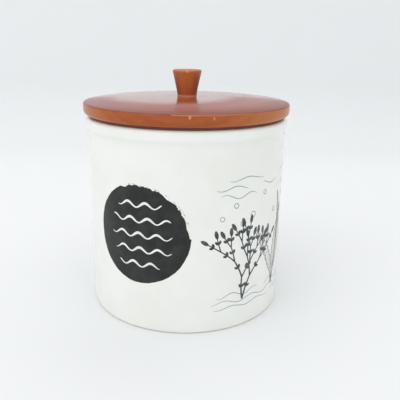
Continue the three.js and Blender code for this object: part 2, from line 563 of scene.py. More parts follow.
# count round the circle, phase and size of each wave in the outline
SPOT_WANDER = [(2, 0.4, 0.25), (3, 2.0, 0.2), (7, 1.1, 0.09), (17, 0.3, 0.05), (41, 2.2, 0.04)]
# spokes that a bite is wide, its depth, and how many there are
BITES = [(30, 1.9, 8), (10, 1.6, 26), (4, 1.2, 70)]
BITE_SEED = 11


def dry_bites():
    """How far the dry brush bites into the edge at each spoke."""
    rng = random.Random(BITE_SEED)
    bites = [0.0] * SPOT_SPOKES
    for size, depth, amount in BITES:
        for _ in range(amount):
            middle = rng.uniform(DRY_FROM, DRY_TO) / math.tau * SPOT_SPOKES
            reach = size * rng.uniform(0.5, 1.2)
            bite = depth * rng.uniform(0.3, 1.0)
            for i in range(SPOT_SPOKES):
                away = abs(i - middle) / reach
                if away < 1:
                    bites[i] = max(bites[i], bite * (1 - away) ** 0.7)
    return bites


def spot_edge():
    """Radius of the spot at each spoke."""
    edge = []
    for angle, bite in zip(even_spokes(SPOT_SPOKES), dry_bites()):
        wander = sum(size * math.sin(count * angle + phase) for count, phase, size in SPOT_WANDER)
        edge.append(SPOT_RADIUS + wander - bite)
    return edge


SPOT_EDGE = spot_edge()
print(f"the spot's radius goes from {min(SPOT_EDGE):.1f} to {max(SPOT_EDGE):.1f} mm")

# %% Brush the spot
SPOT_RINGS = 18
SPOT_UNDER_RINGS = 6
EVEN_RADIUS = 0.9 * SPOT_RADIUS


def spot_face(shape, lift, ring_count):
    """One face of the spot, ring by ring from its middle. Gives back its outermost ring."""
    inner = [shape.verts.new(on_wall(SPOT_MIDDLE, lift))]
    for number in range(1, ring_count + 1):
        share = number / ring_count
        outer = []
        for angle, radius in zip(even_spokes(SPOT_SPOKES), SPOT_EDGE):
            reach = share * (EVEN_RADIUS + (radius - EVEN_RADIUS) * share)
            outer.append(shape.verts.new(on_wall(beyond(SPOT_MIDDLE, reach, angle), lift)))
        for i in range(SPOT_SPOKES):
            there = (i + 1) % SPOT_SPOKES
            quad = [inner[i % len(inner)], inner[there % len(inner)], outer[there], outer[i]]
            shape.faces.new(dict.fromkeys(quad))
        inner = outer
    return inner


def make_label_spot():
    shape = bmesh.new()
    over = spot_face(shape, CHARCOAL_LIFT, SPOT_RINGS)
    under = spot_face(shape, SINK, SPOT_UNDER_RINGS)
    for i in range(SPOT_SPOKES):
        shape.faces.new((over[i - 1], over[i], under[i], under[i - 1]))
    add_piece("label_spot", shape, "crock", [charcoal_ink])


make_label_spot()

# %% Flecks where the brush ran dry
FLECK_COUNT = 26
FLECK_POINTS = 5
FLECK_INSET = 0.1
FLECK_OFFSETS = (-1.3, 0.1)
FLECK_LENGTHS = (0.4, 1.3)
FLECK_WIDTHS = (0.15, 0.38)
FLECK_WOBBLE = 0.06


def draw_flecks(shape, rng):
    """Short dashes along the dry part of the spot's edge."""
    for _ in range(FLECK_COUNT):
        angle = rng.uniform(DRY_FROM + FLECK_INSET, DRY_TO - FLECK_INSET)
        radius = SPOT_RADIUS + rng.uniform(*FLECK_OFFSETS)
        length = rng.uniform(*FLECK_LENGTHS)
        path = []
        for step in range(FLECK_POINTS):
            here = angle + (step / (FLECK_POINTS - 1) - 0.5) * length / radius
            wobble = rng.uniform(-FLECK_WOBBLE, FLECK_WOBBLE)
            path.append(beyond(SPOT_MIDDLE, radius + wobble, here))
        stroke(shape, path, taper(FLECK_POINTS, rng.uniform(*FLECK_WIDTHS), 0.5), CHARCOAL_LIFT)


draw_piece("label_spot_flecks", charcoal_ink, draw_flecks, seed=5)

# %% [markdown]
# ## Waves on the spot
# The spot is filled with rows of plain brushed waves in white, an old pattern for water. They are
# strokes like the rest, swelling on the crests as a loaded brush does, and each row is as long as
# the spot lets it be.

# %% Brush the white waves
WAVE_ROWS = 5
WAVE_RISE = 8.4
WAVE_LENGTH = 10.5
WAVE_SWING = 1.35
WAVE_MARGIN = 7.5
WAVE_SHORTER = 3
WAVE_WIDTH = 1.15
WAVE_SWELL = 0.3
WAVE_BLUNT = 0.3
WAVE_POINTS = 64


def draw_waves(shape, rng):
    """Rows of waves across the spot, each with its own ends and phase."""
    for row in range(WAVE_ROWS):
        rise = WAVE_RISE * (row - (WAVE_ROWS - 1) / 2)
        half = math.sqrt((SPOT_RADIUS - WAVE_MARGIN / 2) ** 2 - rise**2) - WAVE_MARGIN / 2
        start = -half + rng.uniform(0, WAVE_SHORTER)
        end = half - rng.uniform(0, WAVE_SHORTER)
        phase = rng.uniform(0, math.tau)
        path = []
        widths = []
        for i in range(WAVE_POINTS):
            t = i / (WAVE_POINTS - 1)
            arc = start + (end - start) * t
            swing = math.sin(math.tau * arc / WAVE_LENGTH + phase)
            path.append((SPOT_MIDDLE[0] + arc, SPOT_MIDDLE[1] + rise + WAVE_SWING * swing))
            widths.append(WAVE_WIDTH * (1 + WAVE_SWELL * swing) * math.sin(math.pi * t) ** WAVE_BLUNT)
        stroke(shape, path, widths, WHITE_LIFT)


draw_piece("label_waves", white_ink, draw_waves, seed=14)

# %% [markdown]
# ## The sea frieze
# The rest of the wall has a loose pen drawing that runs round the back: forked bladderwrack, kelp
# and eelgrass over a rippled sea bed, with a few bubbles. A pen draws edges and shades them with
# hatching, and fills in what is small and dark. The plants grow by a small rule from seeded random
# numbers, so they look drawn by hand and are the same in every run.

# %% Water lines
FRIEZE_START = 15.0
FRIEZE_END = 292.0
# height and swing of each row
BED_ROWS = [(13.5, 0.8), (17.0, 1.1), (21.0, 1.3)]
UPPER_ROWS = [(78.0, 1.3), (82.5, 1.1), (87.0, 0.9)]
BED_RUN, BED_GAP = 56.0, 7.0
UPPER_RUN, UPPER_GAP = 24.0, 26.0
WATER_OFFSET = 10
WATER_CRESTS = (15, 20)
WATER_STEP = 0.8
SLATE_PEN = 0.36


def water_row(shape, rng, height, swing, longest, widest_gap):
    """One row of wavy lines with gaps between them."""
    arc = FRIEZE_START + rng.uniform(0, WATER_OFFSET)
    phase = rng.uniform(0, math.tau)
    crest = rng.uniform(*WATER_CRESTS)
    while arc < FRIEZE_END:
        end = min(arc + longest * rng.uniform(0.5, 1.0), FRIEZE_END)
        count = max(6, int((end - arc) / WATER_STEP))
        path = []
        for i in range(count):
            here = arc + (end - arc) * i / (count - 1)
            path.append((here, height + swing * math.sin(math.tau * here / crest + phase)))
        stroke(shape, path, taper(count, SLATE_PEN, 0.5, 0.3), SLATE_LIFT)
        arc = end + widest_gap * rng.uniform(0.3, 1.0)


def draw_water(shape, rng):
    """Long rows along the sea bed, and short ones above the plants."""
    for height, swing in BED_ROWS:
        water_row(shape, rng, height, swing, BED_RUN, BED_GAP)
    for height, swing in UPPER_ROWS:
        water_row(shape, rng, height, swing, UPPER_RUN, UPPER_GAP)


draw_piece("frieze_water", slate_ink, draw_water, seed=21)

# %% Leaves drawn with a pen
PEN = 0.30
FINE_PEN = 0.17
RUFFLE_TURN = 1.1
BLADDER_POINTS = 11


def grow(spot, heading, length, bend, count):
    """A path that starts at a spot and bends steadily. A heading of 0 is straight up."""
    path = [spot]
    step = length / (count - 1)
    for _ in range(count - 1):
        arc, height = path[-1]
        path.append((arc + step * math.sin(heading), height + step * math.cos(heading)))
        heading += bend * step
    return path, heading


def beside(path, offsets):
    """A path shifted to its left by an offset at each point."""
    last = len(path) - 1
    moved = []
    for i, (spot, offset) in enumerate(zip(path, offsets)):
        along = (Vector(path[min(i + 1, last)]) - Vector(path[max(i - 1, 0)])).normalized()
        moved.append((spot[0] - along.y * offset, spot[1] + along.x * offset))
    return moved


def leaf(shape, path, widths, shaded, reach, ruffle=0.0):
    """Two edges, a midrib, and hatching from the shaded edges in by a share of the half width."""
    count = len(path)
    for side in (-1, 1):
        halves = [side * width / 2 for width in widths]
        ruffles = [1 + ruffle * math.sin(RUFFLE_TURN * i + side) for i in range(count)]
        edge = beside(path, [half * wave for half, wave in zip(halves, ruffles)])
        stroke(shape, edge, taper(count, PEN, 0.3, 0.35), CHARCOAL_LIFT)
        if side not in shaded:
            continue
        inner = beside(path, [half * (1 - reach) for half in halves])
        for i in range(1, count - 2):
            stroke(shape, [edge[i], inner[i + 1]], [FINE_PEN, LEAST_WIDTH], CHARCOAL_LIFT)
    stroke(shape, path, taper(count, FINE_PEN, 0.2, 0.5), CHARCOAL_LIFT)


def bladder(shape, spot, heading, length, width):
    """A small filled oval that points along a heading."""
    path, _ = grow(spot, heading, length, 0.0, BLADDER_POINTS)
    stroke(shape, path, taper(BLADDER_POINTS, width, 0.5, 0.55), CHARCOAL_LIFT)


print(f"pens of {PEN} and {FINE_PEN} mm")

# %% Bladderwrack
BED_LEVEL = 17.0
FORKS = 3
FORK_TURN = 0.34
FORK_SHRINK = 0.84
UPWARD = 0.7
BRANCH_POINTS = 14
BRANCH_BEND = 0.025
BRANCH_WIDTH = 1.2
BRANCH_THINNING = 0.25
BRANCH_LENGTHS = (13, 16)
WRACK_LEANS = (-0.20, 0.24)
BLADDER_TURN = 0.55
# length and width of the air bladders beside a branch and of the swollen tips
SIDE_BLADDER = (2.6, 1.5)
TIP_BLADDER = (5.2, 2.2)


def wrack_branch(shape, spot, heading, length, width, forks, rng):
    """A ribbon with air bladders beside it, which forks on its way up and ends in swollen tips."""
    bend = rng.uniform(-BRANCH_BEND, BRANCH_BEND)
    path, heading = grow(spot, heading, length, bend, BRANCH_POINTS)
    widths = [width * (1 - BRANCH_THINNING * i / BRANCH_POINTS) for i in range(BRANCH_POINTS)]
    stroke(shape, path, widths, CHARCOAL_LIFT)
    for side in (-1, 1):
        start = beside(path, [side * 0.35 * width] * BRANCH_POINTS)[BRANCH_POINTS // 2]
        bladder(shape, start, heading - side * BLADDER_TURN, *SIDE_BLADDER)
    if not forks:
        bladder(shape, path[-2], heading, *TIP_BLADDER)
        return
    for turn in (-FORK_TURN, FORK_TURN):
        towards = UPWARD * heading + turn + rng.uniform(-0.12, 0.12)
        reach = length * FORK_SHRINK * rng.uniform(0.85, 1.1)
        wrack_branch(shape, path[-1], towards, reach, width * FORK_SHRINK, forks - 1, rng)


def wrack(shape, arc, rng):
    """A forked bush of bladderwrack."""
    for lean in WRACK_LEANS:
        length = rng.uniform(*BRANCH_LENGTHS)
        wrack_branch(shape, (arc, BED_LEVEL), lean, length, BRANCH_WIDTH, FORKS, rng)


print("a bush of bladderwrack ends in", len(WRACK_LEANS) * 2**FORKS, "tips")

# %% Kelp and eelgrass
KELP_LEANS = (-0.34, 0.05, 0.40)
STALK_LENGTHS = (7, 10)
STALK_WIDTHS = [1.1, 0.9, 0.8, 0.75, 0.7, 0.7]
FROND_LENGTHS = (36, 50)
FROND_WIDTHS = (5.0, 6.5)
FROND_BEND = 0.016
FROND_POINTS = 52
FROND_RUFFLE = 0.14
BLADE_COUNTS = (5, 7)
BLADE_LEAN = 0.30
BLADE_GAP = 0.9
BLADE_LENGTHS = (34, 56)
BLADE_WIDTHS = (1.7, 2.3)
BLADE_BEND = 0.016
BLADE_POINTS = 44


def kelp(shape, arc, rng):
    """Three long ruffled fronds on one stalk."""
    for lean in KELP_LEANS:
        length = rng.uniform(*STALK_LENGTHS)
        stalk, heading = grow((arc, BED_LEVEL), 0.6 * lean, length, 0.03 * lean, len(STALK_WIDTHS))
        stroke(shape, stalk, STALK_WIDTHS, CHARCOAL_LIFT)
        length = rng.uniform(*FROND_LENGTHS)
        bend = rng.uniform(-FROND_BEND, FROND_BEND)
        path, _ = grow(stalk[-1], heading, length, bend, FROND_POINTS)
        widths = taper(FROND_POINTS, rng.uniform(*FROND_WIDTHS), 0.35, 0.7)
        leaf(shape, path, widths, (-1, 1), 0.6, FROND_RUFFLE)


def eelgrass(shape, arc, rng):
    """A tuft of narrow blades that lean with the current."""
    blades = rng.randint(*BLADE_COUNTS)
    for i in range(blades):
        lean = -BLADE_LEAN + 2 * BLADE_LEAN * i / (blades - 1) + rng.uniform(-0.06, 0.06)
        start = (arc + BLADE_GAP * (i - blades / 2), BED_LEVEL + rng.uniform(-0.8, 0.8))
        length = rng.uniform(*BLADE_LENGTHS) * (1.0 - 0.5 * abs(lean))
        path, _ = grow(start, lean, length, BLADE_BEND * rng.uniform(0.5, 1.6), BLADE_POINTS)
        widths = taper(BLADE_POINTS, rng.uniform(*BLADE_WIDTHS), 0.35, 0.6)
        leaf(shape, path, widths, (-1,), 0.95)


print("kelp has", len(KELP_LEANS), "fronds, eelgrass", BLADE_COUNTS, "blades")

# %% Plant the sea bed
PLANTS_START = FRIEZE_START + 20.0
PLANTS_END = FRIEZE_END - 12
PLANT_GAPS = (25, 30)


def draw_plants(shape, rng):
    """One plant after another along the sea bed."""
    arc = PLANTS_START
    plants = [wrack, kelp, eelgrass]
    count = 0
    while arc < PLANTS_END:
        plants[count % len(plants)](shape, arc, rng)
        arc += rng.uniform(*PLANT_GAPS)
        count += 1
    print("plants:", count)


draw_piece("frieze_plants", drawing_ink, draw_plants, seed=8)

# %% Bubbles
BUBBLES_START = FRIEZE_START + 6.0
BUBBLES_END = FRIEZE_END - 4
BUBBLE_HEIGHTS = (62, 80)
BUBBLE_RADII = (0.7, 1.7)
BUBBLE_GAPS = (4, 15)
BUBBLE_POINTS = 24


def draw_bubbles(shape, rng):
    """Small rings that rise between the plants."""
    arc = BUBBLES_START
    while arc < BUBBLES_END:
        centre = (arc, rng.uniform(*BUBBLE_HEIGHTS))
        radius = rng.uniform(*BUBBLE_RADII)
        path = [beyond(centre, radius, angle) for angle in even_spokes(BUBBLE_POINTS)]
        stroke(shape, path, [SLATE_PEN] * BUBBLE_POINTS, SLATE_LIFT, ring=True)
        arc += rng.uniform(*BUBBLE_GAPS)


draw_piece("frieze_bubbles", slate_ink, draw_bubbles, seed=3)

# %% [markdown]
# ## Teak
# The lid is turned from one teak board, oiled and polished. Its crown still mirrors the room in the
# middle and at the back, and is worn dull towards the front. A wood picture wrapped round it would
# show a seam. Growth rings worked out in space do not: each point's distance from a pith below the
# board gives the ring, and noises stretched along the grain give fibres and pores, so the edge and
# the end grain come out right by themselves.

# %% Rings, fibres and pores
RING_WIDTH = 4.2 * MM
RING_DRIFT = 10 * MM
TEAK_TONES = [(0.25, paint(118, 47, 20)), (0.50, paint(155, 71, 28)), (0.80, paint(186, 103, 48))]
PORE_WOOD = paint(86, 34, 14)
# pale colour of bare wood where worn, also used for painted highlights
RAW_WOOD = paint(214, 146, 108)


def grain_noise(teak, place, axis, across, along, detail):
    """A noise that is fine across the grain and drawn out along it."""
    scale = [across] * 3
    scale[axis] = along
    return teak.noise(teak.stretched(place, scale), detail=detail)


def make_teak(name, axis, pith, polish, oil, light=0.0, streak=None, worn=None, ending=None):
    """Teak with its fibres along an axis. Three optional functions vary it: one recolours it, one
    makes it paler where worn, and one ends the finish; the first two also paint sheen, shade and
    highlights into its colour.
    """
    teak = Finish(name)
    place = teak.place()
    drift = grain_noise(teak, place, axis, across=26.0, along=6.0, detail=2.0)
    fibres = grain_noise(teak, place, axis, across=900.0, along=22.0, detail=3.0)
    pits = grain_noise(teak, place, axis, across=2400.0, along=130.0, detail=1.0)
    pores = teak.fade(pits, 0.62, 0.72)
    first, second = [part for k, part in enumerate(teak.parts(place)) if k != axis]
    ring_radius = hypotenuse(first - pith[0], second - pith[1]) + RING_DRIFT * drift
    rings = 0.5 + 0.5 * (ring_radius * (math.tau / RING_WIDTH)).sine()

    tone = (0.27 + light) + 0.06 * rings + 0.30 * fibres + 0.26 * drift
    colour = teak.blend(0.35 * pores, teak.ramp(tone, TEAK_TONES), PORE_WOOD)
    roughness = polish + 0.10 * pores
    if streak:
        colour = streak(teak, place, colour)
    # paler where the wood is worn bare, and where a highlight is painted
    if worn:
        bare = worn(teak, place)
        colour = teak.blend(bare, colour, RAW_WOOD)
        roughness = roughness + 0.8 * bare
    sockets = {
        "Base Color": colour,
        "Roughness": roughness,
        "IOR": oil,
        "Normal": teak.relief(fibres - 0.8 * pores, strength=0.05, depth=0.0002),
    }
    return ending(teak, place, sockets) if ending else teak.surface(sockets)


# The plug is plain oiled wood. Its pith is given across its grain, in metres.
plug_teak = make_teak("plug_teak", axis=1, pith=(-0.015, 0.045), polish=0.48, oil=1.4)

# %% Paler and darker wood, with painted sheen and painted shade
LID_EDGE_HEIGHT = 6.6
LID_EDGE = LID_UNDERSIDE + LID_EDGE_HEIGHT
CROWN_FADE = ((LID_EDGE - 0.8) * MM, (LID_EDGE + 0.1) * MM)
FRONT_FADE = (-8 * MM, 14 * MM)
RIGHT_FADE = (4 * MM, 40 * MM)
NEAR_RIM_FADE = (50 * MM, 59 * MM)
PALE_RIGHT_FADE = (8 * MM, 52 * MM)
PALE_LEFT_FADE = (26 * MM, 56 * MM)
KNOB_RIM_FADE = ((KNOB_TOP - 6) * MM, (KNOB_TOP - 1) * MM)
KNOB_FOOT_FADE = (KNOB_BASE * MM, (KNOB_BASE + 11) * MM)
# painted sheen on the ends of the lid's edge
PALE_WOOD = paint(190, 124, 66)
# darker crown wood, also used for painted shade
CROWN_WOOD = paint(108, 22, 10)
RED_WOOD = paint(166, 60, 32)
# painted shade for the knob's sides
DARK_WOOD = paint(100, 28, 16)


def lid_masks(teak, place):
    """How far a point is on the crown, towards the front and towards the right, as shares."""
    along_x, along_y, level = teak.parts(place)
    top = teak.fade(level, *CROWN_FADE)
    front = 1 - teak.fade(along_y, *FRONT_FADE)
    right = teak.fade(along_x, *RIGHT_FADE)
    return top, front, right


def lid_streak(teak, place, colour):
    """Paler towards both ends of the lid's edge as a painted sheen, and darker wood on its crown, with
    painted shade added towards the right and near the front rim.
    """
    along_x, along_y, _ = teak.parts(place)
    top, front, right = lid_masks(teak, place)
    near_rim = front * teak.fade(hypotenuse(along_x, along_y), *NEAR_RIM_FADE)
    # painted sheen: paler towards both ends of the edge, most at the right
    ends = 0.6 * teak.fade(along_x, *PALE_RIGHT_FADE) + 0.3 * teak.fade(-along_x, *PALE_LEFT_FADE)
    colour = teak.blend(ends * (1 - top), colour, PALE_WOOD)
    # darker crown wood, with painted shade added towards the right and near the front rim
    return teak.blend(top * (0.25 + 0.08 * right + 0.30 * near_rim), colour, CROWN_WOOD)


def knob_streak(teak, place, colour):
    """Redder wood towards the knob's foot, and painted shade on its sides, most on the right and
    weaker near the top.
    """
    along_x, along_y, level = teak.parts(place)
    aside = along_x / hypotenuse(along_x, along_y)
    # painted shade: the knob's sides darker, most on the right, weaker near the top
    sides = 0.62 * teak.fade(aside, 0.25, 0.95) + 0.55 * teak.fade(-aside, 0.40, 0.95)
    below_rim = 1 - 0.7 * teak.fade(level, *KNOB_RIM_FADE)
    foot = 1 - teak.fade(level, *KNOB_FOOT_FADE)
    colour = teak.blend(0.6 * foot, colour, RED_WOOD)
    return teak.blend(sides * below_rim, colour, DARK_WOOD)


print(f"the lid's edge is {LID_EDGE_HEIGHT} mm high under a crown of {LID_TOP - LID_EDGE:.1f} mm")

# %% Where the lid is worn, and a painted highlight on its edge
# angle, depth, reach and distance below the upper edge of each nick
NICKS = [(math.radians(3.0), 0.9, 1.0, 1.1), (math.radians(14.4), 0.7, 0.85, 1.8)]
NICK_SHAPE = (1.0, 1.0, 0.6)
NICK_INSET = 0.3
# where the painted highlight lies along the upper edge
RUBBED_MIDDLE = math.radians(2.0)
RUBBED_HALF = math.radians(8.5) * LID_RADIUS * MM
RUBBED_RIGHT_FADE = (0.0, 12 * MM)
RUBBED_BACK_FADE = (-50 * MM, -20 * MM)
RUBBED_THIN_FADE = (25 * MM, 35 * MM)
RUBBED_INSET = 0.35
RUBBED_LINE_FADE = (0.1 * MM, 0.6 * MM)


def ring_distance(teak, place, radius, height):
    """How far a point is from a level circle about the axis, in metres."""
    along_x, along_y, level = teak.parts(place)
    return hypotenuse(hypotenuse(along_x, along_y) - radius * MM, level - height * MM)


def worn_lid(teak, place):
    """Nicks in the front of the upper edge, and a thin pale line along that edge, worn here and there
    and painted as a highlight at the front and towards the right.
    """
    along_x, along_y, _ = teak.parts(place)
    rub = 0.5 * teak.fade(teak.noise(place, scale=55.0, detail=3.0), 0.55, 0.70)
    # painted highlight: a stretch of the edge line at the front, and a weaker one towards the right
    aside = teak.distance(place, around(LID_RADIUS, RUBBED_MIDDLE, LID_EDGE))
    rub = rub.larger(1 - teak.fade(aside, 0.8 * RUBBED_HALF, RUBBED_HALF))
    right = teak.fade(along_x, *RUBBED_RIGHT_FADE) * (1 - teak.fade(along_y, *RUBBED_BACK_FADE))
    rub = rub.larger((0.8 - 0.4 * teak.fade(along_x, *RUBBED_THIN_FADE)) * right)
    off_edge = ring_distance(teak, place, LID_RADIUS - RUBBED_INSET, LID_EDGE - RUBBED_INSET)
    bare = 0.5 * rub * (1 - teak.fade(off_edge, *RUBBED_LINE_FADE))
    for angle, depth, reach, below in NICKS:
        middle = around(LID_RADIUS - NICK_INSET, angle, LID_EDGE - below)
        away = teak.distance(teak.stretched(place, NICK_SHAPE), middle * Vector(NICK_SHAPE))
        nick = 1 - teak.fade(away, 0.45 * reach * MM, 0.85 * reach * MM)
        bare = bare.larger(nick * depth)
    return bare


print("nicks in the lid's edge:", len(NICKS))

# %% Polished and dulled crown
GLOSS_MIDDLE = Vector((-9.0, 0.0, LID_TOP)) * MM
DULLED_FADE = (27 * MM, 43 * MM)
FRONT_RIM_FADE = (38 * MM, 62 * MM)
BACK_FADE = (10 * MM, 55 * MM)
HAZE = paint(236, 224, 242)


def crown_ending(teak, place, sockets):
    """Polished in the middle and at the back, and mixed with a dull, hazy wood towards the front."""
    top, front, right = lid_masks(teak, place)
    back = teak.fade(teak.parts(place)[1], *BACK_FADE)
    away = teak.distance(place, GLOSS_MIDDLE)
    rim = front * teak.fade(away, *FRONT_RIM_FADE)
    gloss = 0.9 * top * (1 - 0.95 * rim) * (1 - 0.3 * back) * (1 - 0.2 * right)
    dulled = top * front * teak.fade(away, *DULLED_FADE)
    polished = {**sockets, "Coat Weight": gloss, "Coat Roughness": 0.11}
    dull = {
        **sockets,
        "Roughness": sockets["Roughness"] + 0.15,
        "Sheen Weight": 0.52,
        "Sheen Roughness": 0.35,
        "Sheen Tint": HAZE,
    }
    return teak.surface(polished, dulled * (1 - 0.8 * rim), dull)


lid_teak = make_teak(
    "lid_teak", axis=0, pith=(0.012, 0.060), polish=0.28, oil=1.36,
    streak=lid_streak, worn=worn_lid, ending=crown_ending,
)

# %% Where the knob is worn, and a painted highlight at its foot
KNOB_LINE_FADE = ((KNOB_BASE + 0.63) * MM, (KNOB_BASE + 1.17) * MM)
KNOB_TOP_FADE = ((KNOB_TOP - 0.4) * MM, (KNOB_TOP - 0.05) * MM)
KNOB_EDGE_FADE = (0.1 * MM, 0.7 * MM)
KNOB_CHIP = around(KNOB_RADIUS - 0.1, math.radians(2.0), KNOB_TOP - 0.7)
KNOB_CHIP_FADE = (0.5 * MM, 1.1 * MM)


def worn_knob(teak, place):
    """A pale line where the knob meets the lid, which is a painted highlight, a rubbed top edge, and a
    top dulled by fingers.
    """
    level = teak.parts(place)[2]
    top = teak.fade(level, *KNOB_TOP_FADE)
    # painted highlight: a pale line along the knob's foot
    foot = 1 - teak.fade(level, *KNOB_LINE_FADE)
    rub = teak.fade(teak.noise(place, scale=240.0, detail=3.0), 0.52, 0.66)
    off_edge = ring_distance(teak, place, KNOB_RADIUS - 0.1, KNOB_TOP - 0.3)
    edge = 1 - teak.fade(off_edge, *KNOB_EDGE_FADE)
    chip = 1 - teak.fade(teak.distance(place, KNOB_CHIP), *KNOB_CHIP_FADE)
    return (0.85 * foot).larger(0.6 * rub * edge).larger(0.25 * top).larger(0.9 * chip)


knob_teak = make_teak(
    "knob_teak", axis=2, pith=(0.022, 0.031), polish=0.38, oil=1.54, light=0.28,
    streak=knob_streak, worn=worn_knob,
)

# %% [markdown]
# ## The lid
# The disc has a straight edge with soft corners and a crown so low that it shows mostly in the way
# the reflection fades. Two small nicks in the front of the upper edge show that it has been used.
# A sculpted mesh could have them, but here the spokes crowd together at each nick and the points
# near it are pressed in, so the rest of the disc stays light.

# %% Turn the lid disc and nick its edge
KNOB_SEAT = 6.2
CROWN_STEPS = 26
CROWN_POWER = 2.8
LID_LOWER_ROUND = 2.4
LID_UPPER_ROUND = 1.1
LID_GRID = 3.0
LID_SPOKES = 240
NICK_SPOKES = 12
NICK_SPACING = 0.2
NICK_PRESS = 0.5


def crown():
    """Corners of the crown, from the lid's edge in to the flat seat of the knob."""
    corners = [(LID_RADIUS, LID_EDGE, LID_UPPER_ROUND)]
    for step in range(1, CROWN_STEPS + 1):
        inwards = step / CROWN_STEPS
        radius = LID_RADIUS + (KNOB_SEAT - LID_RADIUS) * inwards
        corners.append((radius, LID_TOP - (LID_TOP - LID_EDGE) * (1 - inwards) ** CROWN_POWER))
    return corners


def crowded_spokes():
    """Even spokes, with extra ones beside each nick."""
    angles = set(even_spokes(LID_SPOKES))
    for angle, *_ in NICKS:
        for i in range(-NICK_SPOKES, NICK_SPOKES + 1):
            angles.add((angle + i * NICK_SPACING / LID_RADIUS) % math.tau)
    return sorted(angles)


def press_nicks(shape):
    """Presses the points near each nick inwards and a little down."""
    for angle, depth, reach, below in NICKS:
        middle = around(LID_RADIUS, angle, LID_EDGE - below)
        inwards = around(-1.0, angle, -0.5).normalized()
        for vert in shape.verts:
            away = (vert.co - middle).length / (reach * MM)
            if away < 1:
                vert.co += inwards * (NICK_PRESS * depth * MM * (1 - away**2))


def make_lid():
    profile = rounded([
        (BORE_RADIUS, LID_UNDERSIDE),
        (LID_RADIUS, LID_UNDERSIDE, LID_LOWER_ROUND),
        *crown(),
        (BORE_RADIUS, LID_TOP),
    ], closed=True)
    shape = turned(finely(profile, LID_GRID), crowded_spokes())
    press_nicks(shape)
    lid = add_piece("lid_board", shape, "lid", [lid_teak])
    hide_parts("lid_disc")


make_lid()

# %% [markdown]
# ## The knob
# The knob is narrow and almost straight where it meets the lid, and flares to a flat top with an
# eased edge. Its sides are one smooth curve, so they are drawn as a quadratic Bezier by hand, which
# needs three points and no curve object.

# %% Turn the knob
KNOB_BASE_RADIUS = 5.7
KNOB_BASE_EASE = 0.12
KNOB_RIM_RADIUS = 8.7
KNOB_RIM_EASE = 0.9
KNOB_STEM = 0.6
KNOB_BEND = 0.15
FLARE_STEPS = 16
FLARE_LEFT_OUT = 3
SCREW_COVER = 5.0
KNOB_GRID = 1.2
KNOB_SPOKES = 128


def bezier(start, control, end, count):
    points = []
    for i in range(count + 1):
        t = i / count
        points.append(start * (1 - t) ** 2 + control * (2 * t * (1 - t)) + end * t**2)
    return points


def make_knob():
    flare_start = Vector((KNOB_BASE_RADIUS, KNOB_BASE + KNOB_STEM))
    flare_bend = Vector((KNOB_BASE_RADIUS, flare_start.y + KNOB_BEND * (KNOB_TOP - flare_start.y)))
    flare_end = Vector((KNOB_RIM_RADIUS, KNOB_TOP))
    sides = [tuple(point) for point in bezier(flare_start, flare_bend, flare_end, FLARE_STEPS)]
    profile = rounded([
        (0, KNOB_TOP - SCREW_COVER),
        (BORE_RADIUS, KNOB_TOP - SCREW_COVER),
        (BORE_RADIUS, KNOB_BASE),
        (KNOB_BASE_RADIUS, KNOB_BASE, KNOB_BASE_EASE),
        *sides[:-FLARE_LEFT_OUT],
        (*sides[-1], KNOB_RIM_EASE),
        (0, KNOB_TOP),
    ])
    shape = turned(finely(profile, KNOB_GRID), even_spokes(KNOB_SPOKES))
    knob = add_piece("knob_turned", shape, "lid", [knob_teak])
    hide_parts("knob")


make_knob()

# %% [markdown]
# ## The plug, the seal and the screw
# Under the lid a wooden plug drops into the mouth. Its neck carries a soft red-brown ring like those
# on preserving jars: a flange between lid and rim, which shows as a dark line under the lid, and a
# sleeve with two fins. One screw holds the lid together. Its slot is cut with a Boolean, because a
# slot crosses the turning.

# %% Turn the plug
PLUG_NECK = 50.0
PLUG_ROUND = 1.2
PLUG_EASE = 0.3
PLUG_GRID = 3.0
SEAL_PLAY = 0.3
HEAD_RADIUS = 3.8
HEAD_SINK = 0.5
HEAD_LAND = 0.4
SHANK_RADIUS = 2.0
UNDER_LID_SPOKES = 192


def make_plug():
    shoulder = PLUG_FACE + HEAD_SINK + HEAD_LAND
    profile = rounded([
        (HEAD_RADIUS + SEAL_PLAY, PLUG_FACE),
        (PLUG_RADIUS, PLUG_FACE, PLUG_ROUND),
        (PLUG_RADIUS, SEAL_BOTTOM - SEAL_PLAY, PLUG_EASE),
        (PLUG_NECK, SEAL_BOTTOM - SEAL_PLAY),
        (PLUG_NECK, PLUG_TOP),
        (BORE_RADIUS, PLUG_TOP),
        (BORE_RADIUS, shoulder + HEAD_RADIUS - SHANK_RADIUS),
        (HEAD_RADIUS + SEAL_PLAY, shoulder),
    ], closed=True)
    shape = turned(finely(profile, PLUG_GRID), even_spokes(UNDER_LID_SPOKES))
    plug = add_piece("plug_turned", shape, "lid", [plug_teak])
    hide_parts("lid_plug")


make_plug()

# %% Mould the seal
FIN_HEIGHT = 1.0
FIN_REACH = 0.5
FIN_STARTS = (0.9, 2.5)
FIN_ROUND = 0.15
SLEEVE_INNER_ROUND = 0.3
SLEEVE_OUTER_ROUND = 0.5
SLEEVE_CORNER = 0.2
FLANGE_ROUND = 0.25
RUBBER_DARK = paint(98, 50, 38)
RUBBER_BLOOM = paint(124, 68, 52)

seal_rubber = make_dry(
    "seal_rubber", (RUBBER_DARK, RUBBER_BLOOM),
    patches=120.0, grain=1800.0, roughness=0.50, strength=0.12, depth=0.0001,
)


